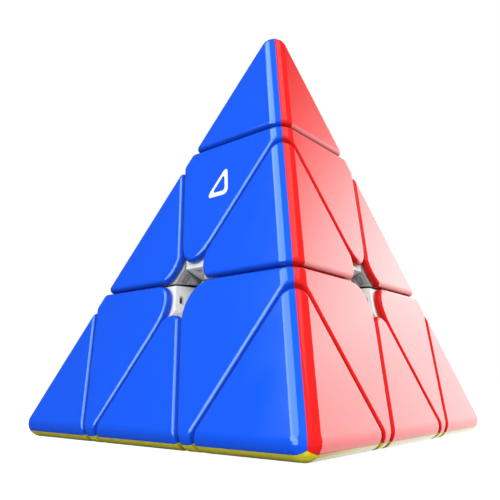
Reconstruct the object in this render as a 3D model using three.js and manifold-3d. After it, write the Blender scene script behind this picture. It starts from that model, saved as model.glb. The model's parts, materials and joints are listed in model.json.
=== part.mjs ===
// Pyramid twisty puzzle: a tetrahedron cut into four corner layers that turn about the four
// corner axes. Four tips, four centre pieces and six edge pieces surround a core that holds
// the centre pieces with a screw and a spring each. Every outer piece is a white or grey
// frame that carries coloured shells, one for each side of the pyramid it shows on.
//
// Millimetres, +Z up, origin at the middle of the core, where the four turning axes meet.
// The top corner is on +Z, the front corner points along -Y.

import * as THREE from "three";
import { mergeVertices } from "three/addons/utils/BufferGeometryUtils.js";
import Module from "manifold-3d";

const wasm = await Module();
wasm.setup();

// ---------------------------------------------------------------- driving dimensions

const EDGE_LENGTH = 105;          // pyramid edge, measured between the sharp corners
const EDGE_ROUND = 2.7;           // radius along the six outer edges and at the four corners
const LAYER_SHIFT = 0.3;          // layer plane beyond the plane through the side centres
const SEAM = 0.4;                 // gap between two pieces that turn past each other
const HOLE_ROUND = 5.2;           // rounding of the six shell corners round a side's centre

const SHELL_THICKNESS = 1.2;      // coloured shell
const SHELL_FIT = 0.2;            // gap between a shell and its frame or the next shell
const PEG_RADIUS = 1.3;           // peg behind each shell
const PEG_LENGTH = 3.0;
const PEG_CLEARANCE = 0.3;        // round and under a peg in its socket
const TIP_PEG_PLACE = 1.42;       // side's centre to a peg, as a share of the side's radius
const CENTRE_PEG_PLACE = 0.66;
const EDGE_PEG_PLACE = 0.64;
const PEG_SPREAD = 9.0;           // between the two pegs of one shell

const FRAME_SETBACK = 4.4;        // frame end wall from the point where its two layer lines meet
const SLOT_WIDTH = 1.8;           // magnet slot in a frame's end wall
const SLOT_HEIGHT = 1.0;
const SLOT_DEPTH = 2.6;
const SLOT_BELOW_SHELL = 0.9;     // wall between the slot and the back of the shell

const FOOT_LAP = 2.7;             // foot's outer radius beyond the line where two layers meet
const FOOT_THICKNESS = 7.2;
const FOOT_CONE = 73;             // half angle of the cone that a layer's feet turn inside
const FOOT_CONE_GAP = 1.6;        // degrees between that cone and the feet outside it
const FOOT_CLEARANCE = 0.5;       // over the feet
const STALK_CONE_GAP = 1.6;       // degrees between a stalk and the feet beside it

const CORE_CLEARANCE = 0.8;       // between the core's ball and the feet
const POST_RADIUS = 3.6;
const POST_SINK = 3.1;            // post top below the feet's outer radius
const POST_CLEARANCE = 0.3;
const SEAT_THICKNESS = 2.0;       // floor in a stalk that the spring presses on

const SCREW_RADIUS = 1.25;
const SCREW_BITE = 9.0;           // length of screw inside the post
const SCREW_HEAD_RADIUS = 2.5;
const SCREW_HEAD_HEIGHT = 2.0;
const SCREW_SLOT_WIDTH = 0.7;
const SCREW_CLEARANCE = 0.3;
const SPRING_LENGTH = 5.6;
const SPRING_WIRE = 0.35;         // wire radius
const SPRING_RADIUS = 2.1;        // coil radius at the middle of the wire
const SPRING_TURNS = 3.5;

const WELL_CLEARANCE = 0.5;       // round the barb in the shaft through a centre piece
const STEM_RADIUS = 2.7;
const STEM_CLEARANCE = 0.3;
const STEM_ABOVE_SCREW = 0.8;
const BARB_LIP = 0.7;             // barb radius beyond the stem
const BARB_LENGTH = 2.2;          // below the collar that the barb snaps behind
const SLIT_WIDTH = 0.9;           // slit up the stem that lets the barb flex
const SLIT_LENGTH = 5.0;

const ROUND_SIDES = 16;           // sides of a turned shape
const CONE_SIDES = 24;
const SCREW_SIDES = 12;
const WIRE_SIDES = 6;
const COIL_STEPS = 10;            // steps of wire in one turn of a spring
const BALL_DETAIL = 3;            // each icosahedron edge is split into one more than this
const PEG_SIDES = 6;
const EDGE_FACETS = 3;            // flats along each rounded outer edge
const HOLE_FACETS = 3;            // flats on each rounded shell corner
const OVERLAP = 1;                // how far shapes reach into each other before a join or cut

// ---------------------------------------------------------------- sizes that follow

const sideDistance = EDGE_LENGTH / Math.sqrt(24);           // core centre to a side
const layerPlane = sideDistance / 3 + LAYER_SHIFT;
const tipPlane = sideDistance * 5 / 3;
const shellBack = sideDistance - SHELL_THICKNESS;
const frameSide = shellBack - SHELL_FIT;
const cornerAngle = 2 * THREE.MathUtils.radToDeg(Math.asin(Math.sqrt(2 / 3)));
const stalkCone = cornerAngle - FOOT_CONE - FOOT_CONE_GAP;  // half angle of a centre's stalk

const layerLine = layerPlane * Math.sqrt(3);                // core centre to two layers' line
const footOuter = layerLine + FOOT_LAP;
const footInner = footOuter - FOOT_THICKNESS;
const footCover = footOuter + FOOT_CLEARANCE;
const coreRadius = footInner - CORE_CLEARANCE;

const postTop = footOuter - POST_SINK;
const seatBottom = postTop + POST_CLEARANCE;
const seatTop = seatBottom + SEAT_THICKNESS;
const springBottom = seatTop + SPRING_WIRE + SCREW_CLEARANCE;
const headBottom = springBottom + SPRING_LENGTH + SPRING_WIRE + SCREW_CLEARANCE;
const headTop = headBottom + SCREW_HEAD_HEIGHT;
const screwBottom = postTop - SCREW_BITE;
const stemBottom = headTop + STEM_ABOVE_SCREW;
const centreTop = tipPlane - SEAM / 2;
const neckBottom = stemBottom + BARB_LENGTH + STEM_CLEARANCE;
const neckRadius = STEM_RADIUS + STEM_CLEARANCE;
const barbRadius = STEM_RADIUS + BARB_LIP;
const wellRadius = barbRadius + WELL_CLEARANCE;

const FAR = 4 * EDGE_LENGTH;                                // larger than any piece

// ---------------------------------------------------------------- directions

const radians = THREE.MathUtils.degToRad;
const UP = new THREE.Vector3(0, 0, 1);
const WORLD_AXES = [new THREE.Vector3(1, 0, 0), new THREE.Vector3(0, 1, 0), UP];

function lowCorner(azimuth) {
  const level = Math.sqrt(8) / 3;
  const angle = radians(azimuth);
  return new THREE.Vector3(level * Math.cos(angle), level * Math.sin(angle), -1 / 3);
}

const CORNERS = {
  top: UP.clone(),
  left: lowCorner(150),
  front: lowCorner(-90),
  right: lowCorner(30),
};
const CORNER_NAMES = Object.keys(CORNERS);

// Each side of the pyramid lies opposite one corner.
const SIDES = {
  blue: { opposite: "right", color: 0x1f5cff },
  red: { opposite: "left", color: 0xf52b2b },
  green: { opposite: "front", color: 0x19b43c },
  yellow: { opposite: "top", color: 0xf2e21c },
};
const SIDE_NAMES = Object.keys(SIDES);

const outward = (side) => CORNERS[SIDES[side].opposite].clone().negate();
const touches = (side, corner) => SIDES[side].opposite !== corner;
const between = (one, other) => CORNERS[one].clone().add(CORNERS[other]).normalize();

// Rotation that carries one pair of directions to another pair at the same angle.
function turnBetween(from, to) {
  const basis = ([first, second]) => {
    const x = first.clone().normalize();
    const z = first.clone().cross(second).normalize();
    const y = z.clone().cross(x);
    return new THREE.Matrix4().makeBasis(x, y, z);
  };
  const turn = basis(to).multiply(basis(from).invert());
  return new THREE.Quaternion().setFromRotationMatrix(turn);
}

// ---------------------------------------------------------------- solids

function solid(geometry) {
  geometry.deleteAttribute("normal");
  geometry.deleteAttribute("uv");
  const merged = mergeVertices(geometry, 1e-5);
  const corners = Array.from(merged.index.array);
  const triangles = [];
  for (let i = 0; i < corners.length; i += 3) {
    const [p, q, r] = corners.slice(i, i + 3);
    if (p !== q && q !== r && r !== p) triangles.push(p, q, r);
  }
  return new wasm.Manifold(new wasm.Mesh({
    numProp: 3,
    vertProperties: new Float32Array(merged.attributes.position.array),
    triVerts: new Uint32Array(triangles),
  }));
}

function geometryOf(shape) {
  const mesh = shape.getMesh();
  const geometry = new THREE.BufferGeometry();
  geometry.setAttribute("position", new THREE.BufferAttribute(new Float32Array(mesh.vertProperties), 3));
  geometry.setIndex(new THREE.BufferAttribute(new Uint32Array(mesh.triVerts), 1));
  const faceted = geometry.toNonIndexed();
  faceted.computeVertexNormals();
  return faceted;
}

// What is left of a shape on the inner side of each plane: direction . point <= distance.
function inside(shape, ...planes) {
  return planes.reduce((left, [direction, distance]) => {
    const inward = direction.clone().negate();
    return left.trimByPlane(inward.toArray(), -distance);
  }, shape);
}

const sum = (shapes) => shapes.reduce((whole, shape) => whole.add(shape));
const without = (shape, cuts) => cuts.reduce((left, cut) => left.subtract(cut), shape);

const above = (direction, distance) => [direction.clone().negate(), -distance];
const below = (direction, distance) => [direction, distance];

// A shape turned round the Z axis from (radius, height) points, then laid along an axis.
function turned(profile, axis = UP, sides = ROUND_SIDES) {
  const points = profile.map(([radius, height]) => new THREE.Vector2(radius, height));
  const geometry = new THREE.LatheGeometry(points, sides);
  geometry.rotateX(Math.PI / 2);
  geometry.applyQuaternion(new THREE.Quaternion().setFromUnitVectors(UP, axis));
  return solid(geometry);
}

const rod = (radius, bottom, top, axis, sides) =>
  turned([[0, bottom], [radius, bottom], [radius, top], [0, top]], axis, sides);

// A cone with its point at the core's centre, tall enough to pass through the feet.
function cone(halfAngle, axis) {
  const height = footCover + FOOT_THICKNESS;
  const radius = height * Math.tan(radians(halfAngle));
  return turned([[0, 0], [radius, height], [0, height]], axis, CONE_SIDES);
}

const ball = (radius) => solid(new THREE.IcosahedronGeometry(radius, BALL_DETAIL));

// A box whose own x, y and z run along three given directions.
function block(size, centre, [x, y, z]) {
  const geometry = new THREE.BoxGeometry(...size);
  geometry.applyMatrix4(new THREE.Matrix4().makeBasis(x, y, z).setPosition(centre));
  return solid(geometry);
}

// ---------------------------------------------------------------- outer form

// A tetrahedron with rounded edges and corners, 'depth' below the pyramid's own surface.
function roundedForm(depth) {
  const distance = sideDistance - depth;
  const round = EDGE_ROUND - depth;
  const normals = SIDE_NAMES.map(outward);
  const planes = normals.map((normal) => below(normal, distance));
  normals.forEach((one, i) => normals.slice(i + 1).forEach((other) =>
    planes.push(...edgeFlats(one, other, distance, round))));
  Object.values(CORNERS).forEach((corner) => planes.push(...cornerFlats(corner, distance, round)));
  return inside(solid(new THREE.BoxGeometry(FAR, FAR, FAR)), ...planes);
}

// Flats touching the cylinder that rounds the edge between two sides.
function edgeFlats(one, other, distance, round) {
  const middle = one.clone().add(other).multiplyScalar(1.5 * (distance - round));
  const turnAxis = one.clone().cross(other).normalize();
  const step = one.angleTo(other) / (EDGE_FACETS + 1);
  return Array.from({ length: EDGE_FACETS }, (_, i) => {
    const direction = one.clone().applyAxisAngle(turnAxis, step * (i + 1));
    return below(direction, direction.dot(middle) + round);
  });
}

// Flats touching the ball inside a corner: one square to the corner's axis, and three
// halfway between that axis and the sides that meet there.
function cornerFlats(corner, distance, round) {
  const centre = corner.clone().multiplyScalar(3 * (distance - round));
  const meeting = SIDE_NAMES.map(outward).filter((normal) => normal.dot(corner) > 0);
  const directions = [corner, ...meeting.map((normal) => normal.add(corner).normalize())];
  return directions.map((direction) => below(direction, direction.dot(centre) + round));
}

const pyramid = roundedForm(0);
const rind = pyramid.subtract(roundedForm(SHELL_THICKNESS));
const frameForm = roundedForm(SHELL_THICKNESS + SHELL_FIT);

// ---------------------------------------------------------------- where the cuts run

const PATTERN_SIDE = "blue";       // every template piece is made on this side
const cutGap = SEAM / 2;

function tipPlanes() {
  return [above(CORNERS.top, tipPlane + cutGap)];
}

function centrePlanes() {
  const others = ["left", "front", "right"].map((name) => below(CORNERS[name], layerPlane - cutGap));
  return [above(CORNERS.top, layerPlane + cutGap), below(CORNERS.top, centreTop), ...others];
}

function edgePlanes() {
  return [
    above(CORNERS.top, layerPlane + cutGap),
    above(CORNERS.left, layerPlane + cutGap),
    below(CORNERS.front, layerPlane - cutGap),
    below(CORNERS.right, layerPlane - cutGap),
  ];
}

// Direction along a side, from its centre towards a corner or the middle of an edge.
function along(side, target) {
  const normal = outward(side);
  return target.clone().addScaledVector(normal, -target.dot(normal)).normalize();
}

// Flats that round a shell's corner at a side's centre. The corner's own point lies at
// 'reach' from the centre along 'towards', and its two sides meet at 60 degrees.
function holeFlats(side, towards, reach) {
  const normal = outward(side);
  const centre = towards.clone().multiplyScalar(reach + 2 * HOLE_ROUND);
  const step = 120 / (HOLE_FACETS + 1);
  return Array.from({ length: HOLE_FACETS }, (_, i) => {
    const direction = towards.clone().negate().applyAxisAngle(normal, radians(step * (i + 1) - 60));
    return below(direction, direction.dot(centre) + HOLE_ROUND);
  });
}

// How far the layer lines run past a side's centre, measured along the side, and where
// they meet: short of the centre on an edge piece, and past it on a centre piece.
const lineShift = LAYER_SHIFT / (Math.sqrt(8) / 3);
const edgeReach = 2 * lineShift;
const centreReach = -edgeReach;

// A plane that cuts a frame off square before it reaches the axis through a side's centre.
function endWall(side, target, reach) {
  return above(along(side, target), reach + FRAME_SETBACK);
}

// ---------------------------------------------------------------- shells

// A shell is the pyramid's rind over one side, mitred to the shells beside it.
function shell(planes, mitres, pegs) {
  const normal = outward(PATTERN_SIDE);
  const mitrePlanes = mitres.map((side) => {
    const across = normal.clone().sub(outward(side)).normalize();
    return above(across, SHELL_FIT / 2);
  });
  const plate = inside(rind, ...planes, ...mitrePlanes);
  const posts = pegs.map((place) => peg(place, PEG_RADIUS, PEG_LENGTH, SHELL_THICKNESS / 2));
  return sum([plate, ...posts]);
}

// A peg behind a shell at a place along the side; 'rise' carries it into the shell.
function peg(place, radius, length, rise) {
  const normal = outward(PATTERN_SIDE);
  const post = rod(radius, shellBack - length, shellBack + rise, normal, PEG_SIDES);
  return post.translate(place.toArray());
}

// Sockets for a shell's pegs, in the frame behind it.
const sockets = (places) => places.map((place) =>
  peg(place, PEG_RADIUS + PEG_CLEARANCE, PEG_LENGTH + PEG_CLEARANCE, SHELL_THICKNESS));

// Peg places: distance from the side's centre towards a target, and then across.
function pegPlace(target, distance, across = 0) {
  const direction = along(PATTERN_SIDE, target);
  const sideways = outward(PATTERN_SIDE).cross(direction);
  return direction.multiplyScalar(distance).addScaledVector(sideways, across);
}

// Two peg places side by side, at the same distance from the side's centre.
const pegPair = (target, distance) =>
  [PEG_SPREAD / 2, -PEG_SPREAD / 2].map((across) => pegPlace(target, distance, across));

const sideRadius = EDGE_LENGTH / Math.sqrt(12);             // side's centre to an edge
const tipPegs = [pegPlace(CORNERS.top, sideRadius * TIP_PEG_PLACE)];
const centrePegs = pegPair(CORNERS.top, sideRadius * CENTRE_PEG_PLACE);
const edgePegs = pegPair(between("top", "left"), sideRadius * EDGE_PEG_PLACE);

const tipShell = () => shell(tipPlanes(), ["red", "green"], tipPegs);

function centreShell() {
  const rounding = holeFlats(PATTERN_SIDE, along(PATTERN_SIDE, CORNERS.top), centreReach);
  return shell([...centrePlanes(), ...rounding], ["red", "green"], centrePegs);
}

function edgeShell() {
  const rounding = holeFlats(PATTERN_SIDE, along(PATTERN_SIDE, between("top", "left")), edgeReach);
  return shell([...edgePlanes(), ...rounding], ["green"], edgePegs);
}

// ---------------------------------------------------------------- frames

// The same cut made for the pattern side, repeated on the other sides of a piece by turns.
const repeated = (cuts, turns) => turns.flatMap((turn) => cuts.map((cut) => cut.transform(turn.elements)));

const turnMatrix = (quaternion) => new THREE.Matrix4().makeRotationFromQuaternion(quaternion);

const thirdTurns = ["blue", "red", "green"].map((side) => turnMatrix(turnBetween(
  [CORNERS.top, outward("blue")], [CORNERS.top, outward(side)])));

const halfTurns = ["blue", "green"].map((side) => turnMatrix(turnBetween(
  [between("top", "left"), outward("blue")], [between("top", "left"), outward(side)])));

// Magnet slot in the end wall that faces the axis through the pattern side's centre.
function magnetSlot(target, reach) {
  const normal = outward(PATTERN_SIDE);
  const direction = along(PATTERN_SIDE, target);
  const sideways = normal.clone().cross(direction);
  const height = frameSide - SLOT_BELOW_SHELL - SLOT_HEIGHT / 2;
  const centre = normal.clone().multiplyScalar(height)
    .addScaledVector(direction, reach + FRAME_SETBACK);
  return block([2 * SLOT_DEPTH, SLOT_WIDTH, SLOT_HEIGHT], centre, [direction, sideways, normal]);
}

function tipFrame() {
  const head = inside(frameForm, ...tipPlanes());
  const stemTop = tipPlane + cutGap + OVERLAP;
  const stem = turned([
    [0, stemBottom], [STEM_RADIUS, stemBottom],
    [barbRadius, stemBottom + BARB_LIP], [barbRadius, stemBottom + BARB_LENGTH],
    [STEM_RADIUS, stemBottom + BARB_LENGTH], [STEM_RADIUS, stemTop], [0, stemTop],
  ]);
  const slit = block([3 * barbRadius, SLIT_WIDTH, 2 * SLIT_LENGTH],
    new THREE.Vector3(0, 0, stemBottom), WORLD_AXES);
  return without(head.add(stem), [slit, ...repeated(sockets(tipPegs), thirdTurns)]);
}

function centreFrame() {
  const walls = ["blue", "red", "green"].map((side) => endWall(side, CORNERS.top, centreReach));
  const cover = inside(frameForm, ...centrePlanes(), ...walls).subtract(ball(footCover));
  const stalk = cone(stalkCone, UP).intersect(ball(footCover + OVERLAP)).subtract(ball(footInner));
  const well = sum([
    rod(POST_RADIUS + POST_CLEARANCE, 0, seatBottom),
    rod(SCREW_RADIUS + SCREW_CLEARANCE, seatBottom - OVERLAP, seatTop + OVERLAP),
    rod(wellRadius, seatTop, neckBottom),
    rod(neckRadius, neckBottom - OVERLAP, centreTop + OVERLAP),
  ]);
  const slots = repeated([magnetSlot(CORNERS.top, centreReach)], thirdTurns);
  return without(cover.add(stalk), [well, ...slots, ...repeated(sockets(centrePegs), thirdTurns)]);
}

function edgeFrame() {
  const { top, left, front, right } = CORNERS;
  const middle = between("top", "left");
  const walls = ["blue", "green"].map((side) => endWall(side, middle, edgeReach));
  const cover = inside(frameForm, ...edgePlanes(), ...walls);
  const neighbours = [
    cone(FOOT_CONE + FOOT_CONE_GAP, front), cone(FOOT_CONE + FOOT_CONE_GAP, right),
    cone(stalkCone + STALK_CONE_GAP, top), cone(stalkCone + STALK_CONE_GAP, left),
  ];
  const sector = without(cone(FOOT_CONE, top).intersect(cone(FOOT_CONE, left)), neighbours);
  const foot = sector.intersect(ball(footOuter));
  const neck = inside(sector, ...edgePlanes()).intersect(ball(footCover + OVERLAP));
  const slots = repeated([magnetSlot(middle, edgeReach)], halfTurns);
  const whole = sum([cover.subtract(ball(footCover)), foot, neck]).subtract(ball(footInner));
  return without(whole, [...slots, ...repeated(sockets(edgePegs), halfTurns)]);
}

// ---------------------------------------------------------------- core

function coreSpider() {
  const posts = Object.values(CORNERS).map((axis) => rod(POST_RADIUS, 0, postTop, axis));
  const holeBottom = screwBottom - SCREW_CLEARANCE;
  const holes = Object.values(CORNERS).map((axis) =>
    rod(SCREW_RADIUS + SCREW_CLEARANCE, holeBottom, postTop + OVERLAP, axis, SCREW_SIDES));
  return without(sum([ball(coreRadius), ...posts]), holes);
}

function tensionScrew() {
  const body = turned([
    [0, screwBottom], [SCREW_RADIUS, screwBottom], [SCREW_RADIUS, headBottom],
    [SCREW_HEAD_RADIUS, headBottom], [SCREW_HEAD_RADIUS, headTop], [0, headTop],
  ], UP, SCREW_SIDES);
  const slot = block([3 * SCREW_HEAD_RADIUS, SCREW_SLOT_WIDTH, SCREW_HEAD_HEIGHT],
    new THREE.Vector3(0, 0, headTop), WORLD_AXES);
  return body.subtract(slot);
}

class Helix extends THREE.Curve {
  getPoint(t, point = new THREE.Vector3()) {
    const angle = 2 * Math.PI * SPRING_TURNS * t;
    return point.set(SPRING_RADIUS * Math.cos(angle), SPRING_RADIUS * Math.sin(angle),
      springBottom + SPRING_LENGTH * t);
  }
}

function tensionSpring() {
  const wire = new THREE.Shape();
  wire.absarc(0, 0, SPRING_WIRE, 0, 2 * Math.PI);
  const geometry = new THREE.ExtrudeGeometry(wire, {
    steps: COIL_STEPS * SPRING_TURNS,
    curveSegments: WIRE_SIDES / 2,
    extrudePath: new Helix(),
  });
  return solid(geometry);
}

// ---------------------------------------------------------------- assembly

const FINISH = {
  white: { color: 0xeceae6, roughness: 0.35, metalness: 0 },
  grey: { color: 0x8c8c8a, roughness: 0.4, metalness: 0 },
  core: { color: 0xd8d8d6, roughness: 0.45, metalness: 0 },
  steel: { color: 0xb9bcc2, roughness: 0.3, metalness: 1 },
};

const puzzle = new THREE.Group();

function place(name, geometry, finish, turn = new THREE.Quaternion()) {
  const mesh = new THREE.Mesh(geometry, new THREE.MeshStandardMaterial(finish));
  mesh.name = name;
  mesh.quaternion.copy(turn);
  puzzle.add(mesh);
}

const shellFinish = (side) => ({ color: SIDES[side].color, roughness: 0.2, metalness: 0 });

function addCore() {
  place("core_spider", geometryOf(coreSpider()), FINISH.core);
  const screw = geometryOf(tensionScrew());
  const spring = geometryOf(tensionSpring());
  for (const corner of CORNER_NAMES) {
    const turn = new THREE.Quaternion().setFromUnitVectors(UP, CORNERS[corner]);
    place(`${corner}_screw`, screw, FINISH.steel, turn);
    place(`${corner}_spring`, spring, FINISH.steel, turn);
  }
}

// Tips and centre pieces: one frame for each corner and a shell for each side it touches.
function addCornerPieces(kind, frame, shellShape) {
  const frameGeometry = geometryOf(frame);
  const shellGeometry = geometryOf(shellShape);
  const pattern = [CORNERS.top, outward(PATTERN_SIDE)];
  for (const corner of CORNER_NAMES) {
    const sides = SIDE_NAMES.filter((side) => touches(side, corner));
    const turns = sides.map((side) => turnBetween(pattern, [CORNERS[corner], outward(side)]));
    place(`${corner}_${kind}_frame`, frameGeometry, FINISH.white, turns[0]);
    sides.forEach((side, i) =>
      place(`${corner}_${kind}_${side}_shell`, shellGeometry, shellFinish(side), turns[i]));
  }
}

function addEdgePieces() {
  const frameGeometry = geometryOf(edgeFrame());
  const shellGeometry = geometryOf(edgeShell());
  const pattern = [between("top", "left"), outward(PATTERN_SIDE)];
  CORNER_NAMES.forEach((one, i) => CORNER_NAMES.slice(i + 1).forEach((other) => {
    const sides = SIDE_NAMES.filter((side) => touches(side, one) && touches(side, other));
    const turns = sides.map((side) => turnBetween(pattern, [between(one, other), outward(side)]));
    place(`${one}_${other}_edge_frame`, frameGeometry, FINISH.grey, turns[0]);
    sides.forEach((side, k) =>
      place(`${one}_${other}_edge_${side}_shell`, shellGeometry, shellFinish(side), turns[k]));
  }));
}

addCore();
addCornerPieces("centre", centreFrame(), centreShell());
addCornerPieces("tip", tipFrame(), tipShell());
addEdgePieces();

export default puzzle;
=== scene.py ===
"""Looks of the pyramid twisty puzzle: moulded shells with rolled edges and painted shade in the seams,
on white frames and grey ones whose grey is painted shade, magnets in the frame slots, and plain studio light."""
import itertools
import json
import math

import bmesh
import bpy
import numpy as np
from mathutils import Matrix, Vector
from mathutils.bvhtree import BVHTree


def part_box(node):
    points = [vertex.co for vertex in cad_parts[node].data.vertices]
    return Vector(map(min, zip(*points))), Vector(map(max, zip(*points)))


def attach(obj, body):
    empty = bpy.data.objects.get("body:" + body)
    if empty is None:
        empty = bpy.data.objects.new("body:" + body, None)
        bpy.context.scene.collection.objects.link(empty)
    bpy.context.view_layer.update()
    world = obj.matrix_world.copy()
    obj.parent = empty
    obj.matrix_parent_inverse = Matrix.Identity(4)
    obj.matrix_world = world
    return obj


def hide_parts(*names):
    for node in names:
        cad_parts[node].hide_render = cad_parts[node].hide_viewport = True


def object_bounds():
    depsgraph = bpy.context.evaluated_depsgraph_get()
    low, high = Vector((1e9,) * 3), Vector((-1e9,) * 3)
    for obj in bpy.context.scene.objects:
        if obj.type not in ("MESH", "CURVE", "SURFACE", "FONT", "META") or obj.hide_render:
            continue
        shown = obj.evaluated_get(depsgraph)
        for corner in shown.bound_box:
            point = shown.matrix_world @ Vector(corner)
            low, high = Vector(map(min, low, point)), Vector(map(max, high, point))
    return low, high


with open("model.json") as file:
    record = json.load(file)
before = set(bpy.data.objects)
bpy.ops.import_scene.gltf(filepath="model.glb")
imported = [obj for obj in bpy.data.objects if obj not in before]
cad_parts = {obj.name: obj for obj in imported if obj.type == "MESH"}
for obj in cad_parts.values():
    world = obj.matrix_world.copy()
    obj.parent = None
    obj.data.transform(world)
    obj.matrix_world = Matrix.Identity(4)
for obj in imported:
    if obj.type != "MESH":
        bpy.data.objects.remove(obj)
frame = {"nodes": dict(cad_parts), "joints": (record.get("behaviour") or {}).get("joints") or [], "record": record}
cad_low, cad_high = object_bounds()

MM = 0.001

# ---------------------------------------------------------------- measures from the frame

CORNER_NAMES = ("top", "left", "front", "right")
OPPOSITE = {"blue": "right", "red": "left", "green": "front", "yellow": "top"}
SIDE_NAMES = tuple(OPPOSITE)

JOINT_AXES = {joint["name"]: Vector(joint["axis"]) for joint in frame["joints"]}
CORNERS = {name: JOINT_AXES[f"{name}_layer_turn"].normalized() for name in CORNER_NAMES}
NORMALS = {side: -CORNERS[corner] for side, corner in OPPOSITE.items()}

# In a regular tetrahedron about the origin
CORNER_RATIO = 3                 # a sharp corner's distance, over a side's
MEETING_RATIO = 1.5              # (normal + normal) * this * a side's distance is on both sides
CORNER_DOT = 1 / 3               # a corner's direction times the normal of a side it touches
CORNER_LEAN = math.sqrt(8) / 3   # the sine of the angle between those two

SIDE_DISTANCE = -cad_low.z
EDGE_ROUND = (CORNER_RATIO * SIDE_DISTANCE - cad_high.z) / 2
TIP_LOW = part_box("top_tip_blue_shell")[0].z
CENTRE_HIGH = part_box("top_centre_blue_shell")[1].z
EDGE_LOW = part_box("top_left_edge_blue_shell")[0].z
CUT_GAP = (TIP_LOW - CENTRE_HIGH) / 2
TIP_PLANE = TIP_LOW - CUT_GAP
LAYER_PLANE = EDGE_LOW - CUT_GAP

# ---------------------------------------------------------------- moulding details

SEAM_ROUND = 0.95 * MM           # rolled edge of a shell along a seam
PAINTED_SHADE_DEPTH = 0.35 * MM         # below the surface, where the painted seam shade is at its darkest
HOLE_ROUND = 5.2 * MM            # shell corners round the hole in a side
HOLE_MIDDLE = 2 * HOLE_ROUND     # of that rounding, from the sharp 60 degree corner it replaces
HOLE_SWEEP = math.radians(120)   # and how far it turns
HOLE_FLATS = 13
SHELL_THICKNESS = 1.2 * MM
SHELL_GAP = 0.07 * MM            # from a shell's rim to the plane that it turns past
MITRE_GAP = 0.015 * MM           # between two colours of one piece, each side
ARC_STEP = math.radians(11)      # along a rolled edge
EDGE_FLATS = 11                  # across each of the pyramid's rounded outer edges
CORNER_GRID = 9                  # across the pyramid's rounded corners
RIND_DEPTH = 2 * EDGE_ROUND      # how deep a shell's pattern is taken from its rounded piece
PEG_SIDES = 24
PEG_RADIUS = 1.3 * MM            # pegs that plug a shell into its frame
PEG_LENGTH = 3.0 * MM
PEG_TAPER = 0.3 * MM
PEG_SPREAD = 9.0 * MM            # between the two pegs of a centre or edge shell
PEG_PLACES = {"tip": 1.42, "centre": 0.66, "edge": 0.64}  # shares of a side's inner radius
FRAME_SETBACK = 4.4 * MM         # frame end wall from the point where its layer lines meet
FRAME_ROUND = 0.22 * MM          # softened edges of frames and core
SLOT_BELOW_SIDE = 2.8 * MM       # middle of a magnet slot below the side's surface
MAGNET_SIZE = (1.2 * MM, 1.66 * MM, 0.86 * MM)  # deep, wide, high
MAGNET_ROUND = 0.12 * MM
CENTRE_MAGNET_INSET = 0.5 * MM   # magnet face below its frame's end wall
EDGE_MAGNET_INSET = 0.1 * MM
THIN_ROUND = 0.06 * MM           # softened edges of screws and springs
BEVEL_ABOVE = 28                 # degrees between two faces that get a softened edge
BEVEL_SEGMENTS = 2
MAGNET_SEGMENTS = 3
ROUND_PROFILE = 0.5              # bevels follow a circle
SHARP_ABOVE = 40                 # degrees between two faces that meet in a crisp edge
FLAT_WITHIN = 0.5                # degrees between two CAD triangles that are one flat face
MARK_HEIGHT = 20.0 * MM          # plain printed mark, up and across from the side's centre
MARK_ACROSS = 2.0 * MM
MARK_RADIUS = 3.6 * MM
MARK_BAR = 1.5 * MM
MARK_ROUNDING = 0.25             # share of its radius
MARK_BENDS = 4                   # steps in half of a rounded corner of the mark
MARK_LIFT = 0.02 * MM

# Tolerances: lengths in metres, except where noted
SLACK = 1e-9
SAME_PLANE = 1e-8
SAME_POINT = 2e-8
SAME_SHELL_VERTEX = 1e-8
SAME_CAD_VERTEX = 1e-7
LEAST_DETERMINANT = 1e-6         # of three planes that meet in one point
LEAST_ANGLE = 1e-6               # radians
DIRECTION_DIGITS = 6             # decimals that tell two directions apart


# ---------------------------------------------------------------- directions

def touches(side, corner):
    return OPPOSITE[side] != corner


def between(one, other):
    return (CORNERS[one] + CORNERS[other]).normalized()


def along(side, target):
    """Direction along a side from its centre towards a target direction."""
    normal = NORMALS[side]
    return (target - normal * target.dot(normal)).normalized()


def basis(first, second):
    x = first.normalized()
    z = first.cross(second).normalized()
    return Matrix((x, z.cross(x), z)).transposed()


def turn_between(start, end):
    """Rotation that carries one pair of directions to another pair."""
    return (basis(*end) @ basis(*start).inverted()).to_4x4()


# ---------------------------------------------------------------- rounded convex shapes

def half_space_corners(normals, distances):
    """Corner points of the space where every normal . point <= distance."""
    triples = np.array(list(itertools.combinations(range(len(normals)), 3)))
    systems = normals[triples]
    usable = np.abs(np.linalg.det(systems)) > LEAST_DETERMINANT
    triples, systems = triples[usable], systems[usable]
    points = np.linalg.solve(systems, distances[triples][..., None])[..., 0]
    kept = (points @ normals.T <= distances + SLACK).all(axis=1)
    return merge_points(points[kept])


def merge_points(points):
    merged = []
    for point in points:
        if not any(np.abs(point - other).max() < SAME_POINT for other in merged):
            merged.append(point)
    return np.array(merged)


def facet_loops(points, normals, distances):
    """Each facet as (its normal, the indices of its corners in order, seen from outside)."""
    loops = []
    for normal, distance in zip(normals, distances):
        members = np.where(np.abs(points @ normal - distance) < SAME_PLANE)[0]
        if len(members) < 3:
            continue
        centre = points[members].mean(axis=0)
        across = points[members[0]] - centre
        across /= np.linalg.norm(across)
        upward = np.cross(normal, across)
        offsets = points[members] - centre
        order = np.argsort(np.arctan2(offsets @ upward, offsets @ across))
        loops.append((normal, [int(i) for i in members[order]]))
    return loops


def angle_between(start, end):
    return math.acos(max(-1.0, min(1.0, float(np.dot(start, end)))))


def slerp(start, end, share):
    """The direction that lies a share of the turn from start to end."""
    angle = angle_between(start, end)
    if angle < LEAST_ANGLE:
        return start
    return (math.sin((1 - share) * angle) * start + math.sin(share * angle) * end) / math.sin(angle)


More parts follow.
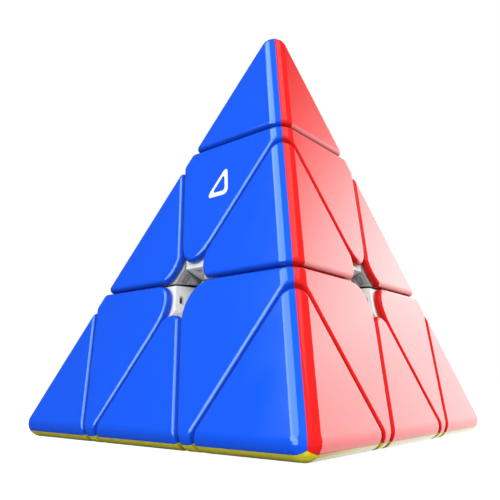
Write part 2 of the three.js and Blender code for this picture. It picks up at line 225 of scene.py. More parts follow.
class RoundedShape:
    """A convex shape with every edge rolled to one radius: the shape shrunk by the radius,
    then grown back by a rolling ball."""

    def __init__(self, planes, radius):
        self.radius = radius
        normals = np.array([tuple(normal.normalized()) for normal, _ in planes])
        distances = np.array([distance for _, distance in planes]) - radius
        self.core = half_space_corners(normals, distances)
        self.loops = facet_loops(self.core, normals, distances)
        self.mesh = bmesh.new()
        self.vertices = {}
        self.build()

    def vertex(self, corner, direction):
        """The vertex on the ball at a corner of the core, made once."""
        key = (corner, tuple(np.round(direction, DIRECTION_DIGITS)))
        if key not in self.vertices:
            point = self.core[corner] + self.radius * direction
            self.vertices[key] = self.mesh.verts.new(point)
        return self.vertices[key]

    @staticmethod
    def arc(start, end):
        """Directions from start to end, at most ARC_STEP apart."""
        count = max(1, math.ceil(angle_between(start, end) / ARC_STEP))
        return [slerp(start, end, i / count) for i in range(count + 1)]

    def face(self, corners):
        """One face; corners that fall together are taken once."""
        ring = [v for i, v in enumerate(corners) if v is not corners[i - 1]]
        if len(ring) >= 3 and self.mesh.faces.get(ring) is None:
            self.mesh.faces.new(ring)

    def build(self):
        """Facets, then rolled edges between them, then the ball's surface at each corner."""
        owner = {}
        for normal, loop in self.loops:
            self.face([self.vertex(corner, normal) for corner in loop])
            for one, other in zip(loop, loop[1:] + loop[:1]):
                owner[(one, other)] = normal
        for (one, other), normal in owner.items():
            if one < other:
                self.strip(one, other, normal, owner[(other, one)])
        for corner in range(len(self.core)):
            self.patch(corner, owner)
        bmesh.ops.recalc_face_normals(self.mesh, faces=self.mesh.faces)

    def strip(self, one, other, near, far):
        """The rolled edge between two corners, from one facet's normal to the next one's."""
        directions = self.arc(near, far)
        for first, second in zip(directions, directions[1:]):
            self.face([self.vertex(one, first), self.vertex(one, second),
                       self.vertex(other, second), self.vertex(other, first)])

    def patch(self, corner, owner):
        """The ball's surface at a corner, ringed from its outline to its middle."""
        normal_after = {other: owner[(corner, other)] for one, other in owner if one == corner}
        normal_before = {other: owner[(other, corner)] for other in normal_after}
        start = next(iter(normal_after))
        ring, current = [], start
        while True:
            ring.append(normal_after[current])
            current = next(other for other in normal_before
                           if np.allclose(normal_before[other], normal_after[current]))
            if current == start:
                break
        outline = []
        for near, far in zip(ring, ring[1:] + ring[:1]):
            outline += self.arc(near, far)[:-1]
        middle = np.sum(outline, axis=0)
        middle /= np.linalg.norm(middle)
        widest = max(angle_between(direction, middle) for direction in outline)
        rings = max(1, math.ceil(widest / ARC_STEP))
        rows = [[slerp(direction, middle, k / rings) for direction in outline]
                for k in range(rings)]
        for outer, inner in zip(rows, rows[1:]):
            for i in range(len(outline)):
                self.face([self.vertex(corner, outer[i - 1]), self.vertex(corner, outer[i]),
                           self.vertex(corner, inner[i]), self.vertex(corner, inner[i - 1])])
        hub = self.vertex(corner, middle)
        last = rows[-1]
        for i in range(len(outline)):
            self.face([self.vertex(corner, last[i - 1]), self.vertex(corner, last[i]), hub])


def cut_away(mesh, normal, distance):
    """Removes what lies beyond a plane and closes the cut."""
    geometry = mesh.verts[:] + mesh.edges[:] + mesh.faces[:]
    result = bmesh.ops.bisect_plane(
        mesh, geom=geometry, dist=SLACK, plane_co=normal * distance, plane_no=normal,
        clear_outer=True)
    rim = [e for e in result["geom_cut"] if isinstance(e, bmesh.types.BMEdge)]
    bmesh.ops.edgeloop_fill(mesh, edges=rim)


# ---------------------------------------------------------------- the puzzle's planes

def edge_flats(one, other):
    """Flats on the rounded edge between the sides with these two normals."""
    middle = (one + other) * MEETING_RATIO * (SIDE_DISTANCE - EDGE_ROUND)
    turn_axis = one.cross(other).normalized()
    step = one.angle(other) / (EDGE_FLATS + 1)
    flats = []
    for i in range(1, EDGE_FLATS + 1):
        direction = Matrix.Rotation(step * i, 3, turn_axis) @ one
        flats.append((direction, direction.dot(middle) + EDGE_ROUND))
    return flats


def corner_flats(corner):
    """Flats on the ball inside a corner, spread between the three sides that meet there."""
    meeting = [normal for side, normal in NORMALS.items() if touches(side, corner)]
    centre = CORNERS[corner] * CORNER_RATIO * (SIDE_DISTANCE - EDGE_ROUND)
    flats = []
    for i, j in itertools.product(range(1, CORNER_GRID), repeat=2):
        k = CORNER_GRID - i - j
        if k < 1:
            continue
        direction = (meeting[0] * i + meeting[1] * j + meeting[2] * k).normalized()
        flats.append((direction, direction.dot(centre) + EDGE_ROUND))
    return flats


def outer_planes(corner=None):
    """The pyramid's outside by the blue side's edges, and by a corner if one is named."""
    planes = [(normal, SIDE_DISTANCE) for normal in NORMALS.values()]
    for one, other in (("blue", "red"), ("blue", "green")):
        planes += edge_flats(NORMALS[one], NORMALS[other])
    if corner:
        planes += edge_flats(NORMALS["red"], NORMALS["green"]) + corner_flats(corner)
    return planes


def hole_flats(towards, reach):
    """Flats that round a shell's corner at the blue side's centre."""
    normal = NORMALS["blue"]
    centre = towards * (reach + HOLE_MIDDLE)
    step = HOLE_SWEEP / (HOLE_FLATS + 1)
    flats = []
    for i in range(1, HOLE_FLATS + 1):
        turn = Matrix.Rotation(step * i - HOLE_SWEEP / 2, 3, normal)
        direction = turn @ -towards
        flats.append((direction, direction.dot(centre) + HOLE_ROUND))
    return flats


def beyond(corner, distance):
    """The plane of a cut across a corner, keeping the corner's part."""
    return (-CORNERS[corner], -distance)


def short_of(corner, distance):
    """The plane of a cut across a corner, keeping the rest."""
    return (CORNERS[corner], distance)


# On a side, from its centre: a layer's line, where two of them meet, and the side's inradius
LINE_SHIFT = (LAYER_PLANE - SIDE_DISTANCE * CORNER_DOT) / CORNER_LEAN
EDGE_REACH = 2 * LINE_SHIFT
CENTRE_REACH = -EDGE_REACH
SIDE_RADIUS = SIDE_DISTANCE * math.sqrt(2)
UP_BLUE = along("blue", CORNERS["top"])
EDGEWARD_BLUE = along("blue", between("top", "left"))


def tip_planes():
    return outer_planes("top") + [beyond("top", TIP_PLANE + SHELL_GAP)]


def centre_planes():
    planes = outer_planes()
    planes += [beyond("top", LAYER_PLANE + SHELL_GAP), short_of("top", TIP_PLANE - SHELL_GAP)]
    planes += [short_of(name, LAYER_PLANE - SHELL_GAP) for name in CORNER_NAMES[1:]]
    return planes + hole_flats(UP_BLUE, CENTRE_REACH)


def edge_planes():
    planes = outer_planes()
    planes += [beyond(name, LAYER_PLANE + SHELL_GAP) for name in ("top", "left")]
    planes += [short_of(name, LAYER_PLANE - SHELL_GAP) for name in ("front", "right")]
    return planes + hole_flats(EDGEWARD_BLUE, EDGE_REACH)


def inner_form():
    """The space inside the shells: the pyramid less the shells' thickness."""
    planes = [(normal, SIDE_DISTANCE - SHELL_THICKNESS) for normal in NORMALS.values()]
    return RoundedShape(planes, EDGE_ROUND - SHELL_THICKNESS).mesh


def peg(place):
    """A peg behind the blue side, with a tapered end."""
    normal = NORMALS["blue"]
    mesh = bmesh.new()
    root = SIDE_DISTANCE - SHELL_THICKNESS / 2
    tip = SIDE_DISTANCE - SHELL_THICKNESS - PEG_LENGTH
    rows = [(root, PEG_RADIUS), (tip + PEG_TAPER, PEG_RADIUS), (tip, PEG_RADIUS - PEG_TAPER)]
    sideways = normal.orthogonal().normalized()
    rings = []
    for height, radius in rows:
        ring = []
        for i in range(PEG_SIDES):
            out = Matrix.Rotation(2 * math.pi * i / PEG_SIDES, 3, normal) @ sideways
            ring.append(mesh.verts.new(place + normal * height + out * radius))
        rings.append(ring)
    for above, below in zip(rings, rings[1:]):
        for i in range(PEG_SIDES):
            mesh.faces.new([above[i - 1], above[i], below[i], below[i - 1]])
    mesh.faces.new(rings[0])
    mesh.faces.new(rings[-1])
    bmesh.ops.recalc_face_normals(mesh, faces=mesh.faces)
    return mesh


def peg_places(kind):
    towards = EDGEWARD_BLUE if kind == "edge" else UP_BLUE
    place = towards * SIDE_RADIUS * PEG_PLACES[kind]
    if kind == "tip":
        return [place]
    across = NORMALS["blue"].cross(towards) * PEG_SPREAD / 2
    return [place + across, place - across]


def as_object(name, shape):
    mesh = bpy.data.meshes.new(name)
    shape.to_mesh(mesh)
    shape.free()
    obj = bpy.data.objects.new(name, mesh)
    bpy.context.scene.collection.objects.link(obj)
    return obj


def combined(base, changes):
    """The base mesh joined with or cut by other shapes; the helpers are removed."""
    helper = as_object("base", base)
    tools = []
    for operation, shape in changes:
        tool = as_object("tool", shape)
        modifier = helper.modifiers.new("change", "BOOLEAN")
        modifier.operation = operation
        modifier.solver = "EXACT"
        modifier.object = tool
        tools.append(tool)
    evaluated = helper.evaluated_get(bpy.context.evaluated_depsgraph_get())
    mesh = bpy.data.meshes.new_from_object(evaluated)
    for obj in [helper, *tools]:
        bpy.data.objects.remove(obj)
    return mesh


def soft_step(value):
    """0 below 0, 1 above 1, and a smooth rise between."""
    share = max(0.0, min(1.0, value))
    return share * share * (3 - 2 * share)


def store_seam_shade_masks(mesh):
    """Stores painted seam shade, by how deep each vertex lies: 0 on the pyramid's outer surface, 1 from the depth
    where the painted shade is full.
    """
    normals = np.array([tuple(normal) for normal in NORMALS.values()])
    corners = half_space_corners(normals, np.full(len(normals), SIDE_DISTANCE - EDGE_ROUND))
    triangles = list(itertools.combinations(range(len(corners)), 3))
    heart = BVHTree.FromPolygons(corners.tolist(), triangles)
    seam_shade_masks = mesh.attributes.new("seam_shade_mask", "FLOAT", "POINT")
    for vertex, seam_shade_mask in zip(mesh.vertices, seam_shade_masks.data):
        distance = heart.find_nearest(vertex.co)[3]
        seam_shade_mask.value = soft_step((EDGE_ROUND - distance) / PAINTED_SHADE_DEPTH)


def shell_mesh(kind, planes, mitres):
    """A shell on the blue side: the rounded piece's rind there, mitred to its neighbours."""
    shape = RoundedShape(planes, SEAM_ROUND).mesh
    normal = NORMALS["blue"]
    cut_away(shape, -normal, RIND_DEPTH - SIDE_DISTANCE)
    for side in mitres:
        across = (NORMALS[side] - normal).normalized()
        cut_away(shape, across, -MITRE_GAP)
    bmesh.ops.remove_doubles(shape, verts=shape.verts, dist=SAME_SHELL_VERTEX)
    bmesh.ops.recalc_face_normals(shape, faces=shape.faces)
    pegs = [("UNION", peg(place)) for place in peg_places(kind)]
    mesh = combined(shape, [("DIFFERENCE", inner_form()), *pegs])
    store_seam_shade_masks(mesh)
    return mesh


def finish_smooth(obj, angle=SHARP_ABOVE):
    """Smooth shading that keeps flats flat and cuts crisp."""
    for polygon in obj.data.polygons:
        polygon.use_smooth = True
    obj.data.set_sharp_from_angle(angle=math.radians(angle))
    modifier = obj.modifiers.new("flats", "WEIGHTED_NORMAL")
    modifier.keep_sharp = True


# ---------------------------------------------------------------- materials

PAINTED_SEAM_SHADE = 0.55                # painted shade: colour at the bottom of a seam, as a share of the shell's
GLOSS_ROUGHNESS = (0.08, 0.12)
GLOSS_IOR = 1.5
SATIN_ROUGHNESS = (0.28, 0.42)
STEEL_ROUGHNESS = (0.2, 0.38)
MOTTLE = {                       # size of the patches, and how dark the darker ones are
    "gloss": (14 * MM, 0.93),
    "satin": (5 * MM, 0.9),
    "steel": (1.5 * MM, 0.85),
}
SMEAR_SIZE, SMEAR_DETAIL, SMEAR_STRETCH = 6 * MM, 6.0, (1, 1, 0.35)
SMOOTH_DETAIL = 1.0              # noise without finer noise in it
DUST_SIZE = 3 * MM
PEEL_SIZE, PEEL_DEPTH = 1.1 * MM, 0.0012 * MM
RIPPLE_SIZE, RIPPLE_DEPTH = 9 * MM, 0.006 * MM
GRAIN_DEPTH = 0.012 * MM
LINE_SIZE, LINE_DEPTH = 0.25 * MM, 0.004 * MM
LINE_DETAIL, LINE_STRETCH = 2.0, (1, 1, 9)
NOISE_SPAN = (0.3, 0.7)          # where nearly all values of a noise lie

SHELL_COLORS = {
    "blue": (0.006, 0.108, 0.95),
    "red": (0.90, 0.014, 0.014),
    "green": (0.012, 0.42, 0.05),
    "yellow": (0.90, 0.78, 0.03),
}
SATIN_FINISHES = {               # colour, and the size of the grain
    "white_plastic": ((0.88, 0.87, 0.855), 0.20 * MM),
    # painted shade: a grey copy of the white frame plastic, darker to stand in for the shade on the edge frames'
    # end walls
    "grey_plastic": ((0.42, 0.42, 0.415), 0.20 * MM),
    "core_plastic": ((0.68, 0.68, 0.67), 0.35 * MM),
    # painted shade: near black for the magnets sunk in the centre frames' slots, standing in for the shade inside
    # them
    "painted_shade_black_magnet": ((0.004, 0.004, 0.004), 0.15 * MM),
    # painted shade: grey for the edge frames' magnets, matching their frames' painted shade
    "painted_shade_grey_magnet": ((0.30, 0.30, 0.30), 0.15 * MM),
    "mark_print": ((0.9, 0.9, 0.9), 0.1 * MM),
}
STEEL_COLOR = (0.62, 0.63, 0.65)


class Nodes:
    """Short calls for building one material's node tree."""

    def __init__(self, name):
        self.material = bpy.data.materials.new(name)
        self.material.use_nodes = True
        self.tree = self.material.node_tree
        self.shader = self.tree.nodes["Principled BSDF"]
        self.place = self.add("ShaderNodeTexCoord").outputs["Object"]

    def add(self, kind, **values):
        node = self.tree.nodes.new(kind)
        for name, value in values.items():
            node.inputs[name].default_value = value
        return node

    def link(self, output, target):
        self.tree.links.new(output, target)

    def noise(self, grain, detail=3.0, stretch=None):
        """Noise whose features are about one grain across, in metres."""
        texture = self.add("ShaderNodeTexNoise", Scale=1 / grain, Detail=detail)
        source = self.place
        if stretch:
            mapping = self.add("ShaderNodeMapping", Scale=stretch)
            self.link(source, mapping.inputs["Vector"])
            source = mapping.outputs["Vector"]
        self.link(source, texture.inputs["Vector"])
        return texture.outputs["Fac"]

    def ranged(self, value, low, high):
        """A noise value spread from low to high."""
        spread = self.add("ShaderNodeMapRange")
        spread.inputs["From Min"].default_value = NOISE_SPAN[0]
        spread.inputs["From Max"].default_value = NOISE_SPAN[1]
        spread.inputs["To Min"].default_value = low
        spread.inputs["To Max"].default_value = high
        self.link(value, spread.inputs["Value"])
        return spread.outputs["Result"]

    def bump(self, layers):
        """Bumps laid over each other, each a (height, depth in metres) pair."""
        normal = None
        for height, depth in layers:
            node = self.add("ShaderNodeBump", Strength=1.0, Distance=depth)
            self.link(height, node.inputs["Height"])
            if normal:
                self.link(normal, node.inputs["Normal"])
            normal = node.outputs["Normal"]
        self.link(normal, self.shader.inputs["Normal"])

    def mixed(self, pattern, one, other):
        """Two colours mixed by a pattern; the first may come from another node."""
        mix = self.add("ShaderNodeMix")
        mix.data_type = "RGBA"
        sockets = {socket.identifier: socket for socket in mix.inputs}
        if isinstance(one, bpy.types.NodeSocket):
            self.link(one, sockets["A_Color"])
        else:
            sockets["A_Color"].default_value = (*one, 1)
        sockets["B_Color"].default_value = (*other, 1)
        self.link(pattern, sockets["Factor_Float"])
        return next(socket for socket in mix.outputs if socket.identifier == "Result_Color")

    def mottled(self, color, size, shade):
        """A colour that drifts in patches to a darker shade of it."""
        return self.mixed(self.noise(size), color, [channel * shade for channel in color])

    def feed(self, name, output):
        """Drives one of the main shader's sockets."""
        self.link(output, self.shader.inputs[name])

    def surface(self, output):
        """Takes the place of the main shader."""
        self.link(output, self.tree.nodes["Material Output"].inputs["Surface"])


def gloss_plastic(name, color):
    """Polished moulding: faint mottling, hairline swirls, a slight orange peel, and painted
    shade that darkens the seams."""
    nodes = Nodes(name)
    body = nodes.mottled(color, *MOTTLE["gloss"])
    # painted shade: the rolled edges darken in colour as they turn down into the gap between shells
    seam_shade_mask = nodes.add("ShaderNodeAttribute")
    seam_shade_mask.attribute_name = "seam_shade_mask"
    seam_shade_color = [channel * PAINTED_SEAM_SHADE for channel in color]
    nodes.feed("Base Color", nodes.mixed(seam_shade_mask.outputs["Fac"], body, seam_shade_color))
    smears = nodes.noise(SMEAR_SIZE, SMEAR_DETAIL, SMEAR_STRETCH)
    nodes.feed("Roughness", nodes.ranged(smears, *GLOSS_ROUGHNESS))
    nodes.shader.inputs["IOR"].default_value = GLOSS_IOR
    peel = nodes.noise(PEEL_SIZE, SMOOTH_DETAIL)
    ripple = nodes.noise(RIPPLE_SIZE, SMOOTH_DETAIL)
    nodes.bump([(peel, PEEL_DEPTH), (ripple, RIPPLE_DEPTH)])
    return nodes.material


def satin_plastic(name, color, grain):
    """Spark-eroded moulding: a fine even grain, and dust that dulls it in patches."""
    nodes = Nodes(name)
    nodes.feed("Base Color", nodes.mottled(color, *MOTTLE["satin"]))
    nodes.feed("Roughness", nodes.ranged(nodes.noise(DUST_SIZE), *SATIN_ROUGHNESS))
    nodes.bump([(nodes.noise(grain), GRAIN_DEPTH)])
    return nodes.material


def plated_steel(name, color):
    """Bright plating over turned metal, with fine lines across it."""
    nodes = Nodes(name)
    nodes.shader.inputs["Metallic"].default_value = 1.0
    nodes.feed("Base Color", nodes.mottled(color, *MOTTLE["steel"]))
    lines = nodes.noise(LINE_SIZE, LINE_DETAIL, LINE_STRETCH)
    nodes.feed("Roughness", nodes.ranged(lines, *STEEL_ROUGHNESS))
    nodes.bump([(lines, LINE_DEPTH)])
    return nodes.material


MATERIALS = {"steel": plated_steel("steel", STEEL_COLOR)}
for side_name, side_color in SHELL_COLORS.items():
    MATERIALS[f"{side_name}_plastic"] = gloss_plastic(f"{side_name}_plastic", side_color)
for finish_name, finish in SATIN_FINISHES.items():
    MATERIALS[finish_name] = satin_plastic(finish_name, *finish)

# ---------------------------------------------------------------- pieces

PATTERN_TIP = shell_mesh("tip", tip_planes(), ("red", "green"))
PATTERN_CENTRE = shell_mesh("centre", centre_planes(), ("red", "green"))
PATTERN_EDGE = shell_mesh("edge", edge_planes(), ("green",))


def add_turned(name, pattern, turn, material, body):
    """A copy of a pattern, turned into its place, that rides on a body."""
    obj = bpy.data.objects.new(name, pattern.copy())
    bpy.context.scene.collection.objects.link(obj)
    obj.data.transform(turn)
    finish_smooth(obj)
    obj.data.materials.append(MATERIALS[material])
    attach(obj, body)
    return obj


def add_shell(pattern, turn, piece, side, body):
    node = f"{piece}_{side}_shell"
    obj = add_turned(f"{node}_moulded", pattern, turn, f"{side}_plastic", body)
    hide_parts(node)


def corner_turn(corner, side):
    """Carries a pattern of the top corner on the blue side to another corner and side."""
    return turn_between((CORNERS["top"], NORMALS["blue"]), (CORNERS[corner], NORMALS[side]))


def edge_turn(one, other, side):
    """Carries a pattern of the top-left edge on the blue side to another edge and side."""
    pattern_edge = (between("top", "left"), NORMALS["blue"])
    return turn_between(pattern_edge, (between(one, other), NORMALS[side]))


def edge_sides():
    """Each edge of the pyramid, by its two corners, with each side that it borders."""
    for one, other in itertools.combinations(CORNER_NAMES, 2):
        for side in SIDE_NAMES:
            if touches(side, one) and touches(side, other):
                yield one, other, side


def add_shells():
    for corner, side in itertools.product(CORNER_NAMES, SIDE_NAMES):
        if touches(side, corner):
            turn = corner_turn(corner, side)
            add_shell(PATTERN_TIP, turn, f"{corner}_tip", side, f"{corner}_tip")
            add_shell(PATTERN_CENTRE, turn, f"{corner}_centre", side, f"{corner}_layer")
    for one, other, side in edge_sides():
        piece = f"{one}_{other}_edge"
        add_shell(PATTERN_EDGE, edge_turn(one, other, side), piece, side, piece)


def slot_of(node):
    """The material slot of a node that isn't a shell; the edge frames' grey is painted shade on white plastic."""
    if node.endswith("edge_frame"):
        return "grey_plastic"
    if node.endswith("_frame"):
        return "white_plastic"
    return "core_plastic" if node == "core_spider" else "steel"


def add_softened(node, body):
    """A frame, the core or its hardware with its edges rounded over."""
    shape = bmesh.new()
    shape.from_mesh(frame["nodes"][node].data)
    bmesh.ops.remove_doubles(shape, verts=shape.verts, dist=SAME_CAD_VERTEX)
    bmesh.ops.dissolve_limit(shape, angle_limit=math.radians(FLAT_WITHIN), verts=shape.verts,
                             edges=shape.edges)
    obj = as_object(f"{node}_softened", shape)
    slot = slot_of(node)
    bevel = obj.modifiers.new("softened", "BEVEL")
    bevel.width = THIN_ROUND if slot == "steel" else FRAME_ROUND
    bevel.segments = BEVEL_SEGMENTS
    bevel.limit_method = "ANGLE"
    bevel.angle_limit = math.radians(BEVEL_ABOVE)
    finish_smooth(obj, angle=BEVEL_ABOVE)
    obj.data.materials.append(MATERIALS[slot])
    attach(obj, body)
    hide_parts(node)


def magnet_mesh(towards, reach, inset):
    """A block magnet behind the blue side, in the slot of a frame's end wall."""
    normal = NORMALS["blue"]
    centre = normal * (SIDE_DISTANCE - SLOT_BELOW_SIDE)
    centre += towards * (reach + FRAME_SETBACK + inset + MAGNET_SIZE[0] / 2)
    shape = bmesh.new()
    bmesh.ops.create_cube(shape, size=1)
    axes = Matrix((towards, normal.cross(towards), normal)).transposed().to_4x4()
    placed = Matrix.Translation(centre) @ axes @ Matrix.Diagonal((*MAGNET_SIZE, 1))
    bmesh.ops.transform(shape, matrix=placed, verts=shape.verts)
    bmesh.ops.bevel(shape, geom=shape.edges[:], offset=MAGNET_ROUND, segments=MAGNET_SEGMENTS,
                    profile=ROUND_PROFILE, affect="EDGES")
    mesh = bpy.data.meshes.new("magnet")
    shape.to_mesh(mesh)
    shape.free()
    return mesh


def add_magnet(pattern, turn, piece, side, body, material):
    obj = add_turned(f"{piece}_{side}_magnet", pattern, turn, material, body)


def add_magnets():
    # painted shade: the centre magnets' near black and the edge magnets' grey stand in for shade in the slots
    centre_pattern = magnet_mesh(UP_BLUE, CENTRE_REACH, CENTRE_MAGNET_INSET)
    edge_pattern = magnet_mesh(EDGEWARD_BLUE, EDGE_REACH, EDGE_MAGNET_INSET)
    for corner, side in itertools.product(CORNER_NAMES, SIDE_NAMES):
        if touches(side, corner):
            add_magnet(centre_pattern, corner_turn(corner, side), f"{corner}_centre", side,
                       f"{corner}_layer", "painted_shade_black_magnet")
    for one, other, side in edge_sides():
        piece = f"{one}_{other}_edge"
        add_magnet(edge_pattern, edge_turn(one, other, side), piece, side, piece, "painted_shade_grey_magnet")


def add_mark():
    """A plain printed triangle outline on the top centre piece's blue shell."""
    normal, across = NORMALS["blue"], UP_BLUE.cross(NORMALS["blue"])
    centre = UP_BLUE * MARK_HEIGHT + across * MARK_ACROSS + normal * SIDE_DISTANCE
    corner_turn_of_mark = 2 * math.pi / 3
    inner_radius = MARK_RADIUS - MARK_BAR
    shape = bmesh.new()
    rings = []
    for radius, lift in ((MARK_RADIUS, -MARK_LIFT), (MARK_RADIUS, MARK_LIFT),
                         (inner_radius, MARK_LIFT), (inner_radius, -MARK_LIFT)):
        rounding = radius * MARK_ROUNDING
        out = radius - rounding
        ring = []
        for number in range(3):
            corner = corner_turn_of_mark * number
            for bend in range(-MARK_BENDS, MARK_BENDS + 1):
                angle = corner + corner_turn_of_mark / 2 * bend / MARK_BENDS
                x = out * math.sin(corner) + rounding * math.sin(angle)
                y = out * math.cos(corner) + rounding * math.cos(angle)
                ring.append(shape.verts.new(centre + across * x + UP_BLUE * y + normal * lift))
        rings.append(ring)
    for ring, following in zip(rings, rings[1:] + rings[:1]):
        for i in range(len(ring)):
            shape.faces.new([ring[i - 1], ring[i], following[i], following[i - 1]])
    bmesh.ops.recalc_face_normals(shape, faces=shape.faces)
    obj = as_object("top_centre_blue_mark", shape)
    obj.data.materials.append(MATERIALS["mark_print"])
    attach(obj, "top_layer")


add_shells()
for body_name, node_names in frame["record"]["behaviour"]["bodies"].items():
    for node_name in node_names:
        if not node_name.endswith("_shell"):
            add_softened(node_name, body_name)
add_magnets()
add_mark()

# ---------------------------------------------------------------- stage, light and camera

WHITE = (1.0, 1.0, 1.0, 1.0)
FLOOR_HALF_SIZE = 4.0            # metres
FLOOR_DROP = 0.02 * MM           # keeps the floor from lying in the puzzle's own bottom face
FLOOR_GLOW = 0.9                 # seen by the camera, so the floor is as white as the wall
FLOOR_ALBEDO = 0.3               # seen by the puzzle
FLOOR_ROUGHNESS = 0.8


def add_floor():
    """A floor that looks white and throws only a little light back on the puzzle."""
    mesh = bmesh.new()
    bmesh.ops.create_grid(mesh, x_segments=1, y_segments=1, size=FLOOR_HALF_SIZE)
    floor = as_object("floor", mesh)
    floor.location.z = cad_low.z - FLOOR_DROP
    nodes = Nodes("floor_white")
    dull = nodes.shader
    dull.inputs["Base Color"].default_value = (FLOOR_ALBEDO, FLOOR_ALBEDO, FLOOR_ALBEDO, 1)
    dull.inputs["Roughness"].default_value = FLOOR_ROUGHNESS
    glow = nodes.add("ShaderNodeEmission", Strength=FLOOR_GLOW)
    bright = nodes.add("ShaderNodeAddShader")
    nodes.link(dull.outputs["BSDF"], bright.inputs[0])
    nodes.link(glow.outputs["Emission"], bright.inputs[1])
    mix = nodes.add("ShaderNodeMixShader")
    path = nodes.add("ShaderNodeLightPath")
    nodes.link(path.outputs["Is Camera Ray"], mix.inputs["Fac"])
    nodes.link(dull.outputs["BSDF"], mix.inputs[1])
    nodes.link(bright.outputs["Shader"], mix.inputs[2])
    nodes.surface(mix.outputs["Shader"])
    floor.data.materials.append(nodes.material)
    floor.visible_glossy = False


def spherical(azimuth, elevation):
    """The direction at two angles in degrees; azimuth runs from x towards y."""
    a, e = math.radians(azimuth), math.radians(elevation)
    return Vector((math.cos(e) * math.cos(a), math.cos(e) * math.sin(a), math.sin(e)))


def add_panel(name, azimuth, elevation, distance, size, radiance, seen_in_gloss):
    """An area light aimed at the puzzle; radiance is how bright its surface is."""
    direction = spherical(azimuth, elevation)
    data = bpy.data.lights.new(name, "AREA")
    data.shape = "RECTANGLE"
    data.size, data.size_y = size
    data.energy = radiance * math.pi * size[0] * size[1]
    lamp = bpy.data.objects.new(name, data)
    lamp.location = direction.normalized() * distance
    lamp.rotation_euler = (-direction).to_track_quat("-Z", "Y").to_euler()
    lamp.visible_camera = False
    lamp.visible_glossy = seen_in_gloss
    bpy.context.scene.collection.objects.link(lamp)


CAMERA_AZIMUTH = -7.970          # degrees, from straight in front
CAMERA_ELEVATION = -11.974
CAMERA_ROLL = -0.115
CAMERA_DISTANCE = 210.73 * MM
CAMERA_LENS = 70.0               # millimetres, as is the sensor
CAMERA_SENSOR = 36.0
CAMERA_NEAR = 5 * MM
CAMERA_TARGET = Vector((11.58, 13.76, 33.06)) * MM
CAMERA_SHIFT = (-0.1408, -0.1468)


def add_camera():
    data = bpy.data.cameras.new("camera")
    data.lens = CAMERA_LENS
    data.sensor_width = CAMERA_SENSOR
    data.shift_x, data.shift_y = CAMERA_SHIFT
    data.clip_start = CAMERA_NEAR
    camera = bpy.data.objects.new("camera", data)
    a, e = math.radians(CAMERA_AZIMUTH), math.radians(CAMERA_ELEVATION)
    away = Vector((math.sin(a) * math.cos(e), -math.cos(a) * math.cos(e), math.sin(e)))
    camera.location = CAMERA_TARGET + away * CAMERA_DISTANCE
    roll = Matrix.Rotation(math.radians(CAMERA_ROLL), 4, "Z").to_quaternion()
    camera.rotation_mode = "QUATERNION"
    camera.rotation_quaternion = (-away).to_track_quat("-Z", "Y") @ roll
    bpy.context.scene.collection.objects.link(camera)
    bpy.context.scene.camera = camera


WALL_BRIGHTNESS = {"camera": 1.0, "diffuse": 0.45, "gloss": 0.06}


def set_world():
    """White behind the puzzle, an even soft fill on it, and dark in its gloss, where only
    sheets and panels show."""
    world = bpy.data.worlds.new("studio")
    world.use_nodes = True
    nodes, links = world.node_tree.nodes, world.node_tree.links
    path = nodes.new("ShaderNodeLightPath")
    shader = nodes["Background"]
    shader.inputs["Strength"].default_value = WALL_BRIGHTNESS["diffuse"]
    for ray, brightness in (("Is Glossy Ray", "gloss"), ("Is Camera Ray", "camera")):
        wall = nodes.new("ShaderNodeBackground")
        wall.inputs["Color"].default_value = WHITE
        wall.inputs["Strength"].default_value = WALL_BRIGHTNESS[brightness]
        mix = nodes.new("ShaderNodeMixShader")
        links.new(path.outputs[ray], mix.inputs["Fac"])
        links.new(shader.outputs[0], mix.inputs[1])
        links.new(wall.outputs["Background"], mix.inputs[2])
        shader = mix
    nodes["Background"].inputs["Color"].default_value = WHITE
    links.new(shader.outputs[0], nodes["World Output"].inputs["Surface"])
    bpy.context.scene.world = world


SHEET_DISTANCE = 0.8             # metres
SHEET_STEP = 2.5                 # degrees between the vertices of a sheet


def inside_depth(outline, index, azimuth, elevation):
    """How far a direction lies inside one edge of a counter-clockwise outline, in degrees."""
    (a0, e0), (a1, e1) = outline[index][:2], outline[(index + 1) % len(outline)][:2]
    length = math.hypot(a1 - a0, e1 - e0)
    return ((a1 - a0) * (elevation - e0) - (e1 - e0) * (azimuth - a0)) / length


def steps_across(angles):
    """Even steps that cover all the angles, in degrees."""
    return np.arange(min(angles), max(angles) + SHEET_STEP, SHEET_STEP)


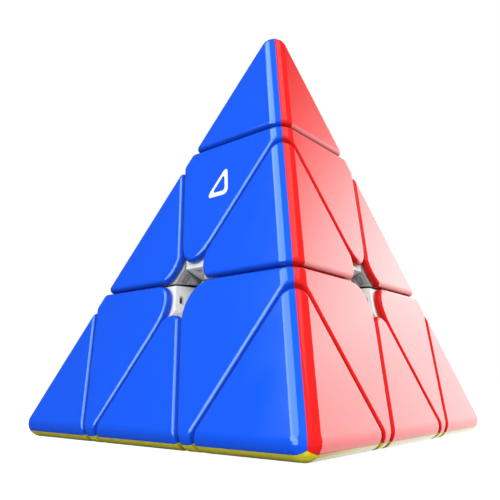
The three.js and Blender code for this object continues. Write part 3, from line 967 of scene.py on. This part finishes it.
def add_sheet(name, outline, levels, color, lights_matt):
    """An unseen curved sheet of light. The outline lists (azimuth, elevation, softness of the
    edge that starts there); levels gives brightness by elevation. All angles are in degrees."""
    def glow(azimuth, elevation):
        level = np.interp(elevation, *zip(*levels))
        for index, (_, _, softness) in enumerate(outline):
            level *= soft_step(inside_depth(outline, index, azimuth, elevation) / softness)
        return level

    azimuths = steps_across([azimuth for azimuth, _, _ in outline])
    elevations = steps_across([elevation for _, elevation, _ in outline])
    shape = bmesh.new()
    glow_layer = shape.verts.layers.float.new("glow")
    rows = []
    for elevation in elevations:
        row = []
        for azimuth in azimuths:
            vertex = shape.verts.new(spherical(azimuth, elevation) * SHEET_DISTANCE)
            vertex[glow_layer] = glow(azimuth, elevation)
            row.append(vertex)
        rows.append(row)
    for below, above in zip(rows, rows[1:]):
        for i in range(1, len(below)):
            corners = [below[i - 1], below[i], above[i], above[i - 1]]
            if any(corner[glow_layer] > 0 for corner in corners):
                shape.faces.new(corners)
    sheet = as_object(name, shape)
    nodes = Nodes(f"{name}_glow")
    brightness = nodes.add("ShaderNodeAttribute")
    brightness.attribute_name = "glow"
    light = nodes.add("ShaderNodeEmission", Color=(*color, 1))
    nodes.link(brightness.outputs["Fac"], light.inputs["Strength"])
    nodes.surface(light.outputs["Emission"])
    sheet.data.materials.append(nodes.material)
    sheet.visible_camera = False
    sheet.visible_diffuse = lights_matt


# The red side mirrors the right sheet. The blue side's rounded edges and seams mirror the left one.
RIGHT_SHEET = ((44, 40, 14), (25, 17, 8), (25, -27, 5), (90, -27, 25), (90, 20, 12), (80, 40, 5))
RIGHT_LEVELS = ((-27, 1.2), (-12, 1.5), (0, 2.1), (8, 2.3), (12, 2.45), (16, 2.9), (20, 2.3),
                (25, 1.2), (28, 0.65), (31, 0.3), (35, 0.05), (38, 0.0))
RIGHT_COLOR = (1.0, 1.0, 1.0)
LEFT_SHEET = ((141, 38, 5), (167, 3, 5), (218, -8, 5), (225, 40, 5), (207, 61, 5), (189, 67, 5),
              (169, 70, 5), (145, 70, 5))
LEFT_LEVELS = ((-8, 7.0), (22, 7.0), (34, 4.4), (70, 4.2))
LEFT_COLOR = (0.66, 0.97, 1.0)
# Azimuth and elevation in degrees, distance and size in metres, radiance, and seen in gloss or not
PANELS = {
    "top_right_softbox": (-12, 68, 0.7, (0.34, 0.3), 0.9, True),
    "back_softbox": (88, 39, 0.7, (0.22, 0.3), 3.0, True),
    "left_fill": (200, 20, 0.9, (0.6, 0.6), 2.6, False),
    "right_fill": (-15, 20, 0.9, (0.6, 0.6), 2.0, False),
    "front_fill": (-90, 30, 0.9, (1.2, 0.9), 2.2, False),
    "top_fill": (-90, 85, 0.9, (1.2, 1.2), 1.2, False),
}

add_floor()
add_sheet("right_sheet", RIGHT_SHEET, RIGHT_LEVELS, RIGHT_COLOR, lights_matt=True)
add_sheet("left_sheet", LEFT_SHEET, LEFT_LEVELS, LEFT_COLOR, lights_matt=False)
for panel_name, panel in PANELS.items():
    add_panel(panel_name, *panel)
add_camera()
set_world()
bpy.context.scene.view_settings.view_transform = "Standard"
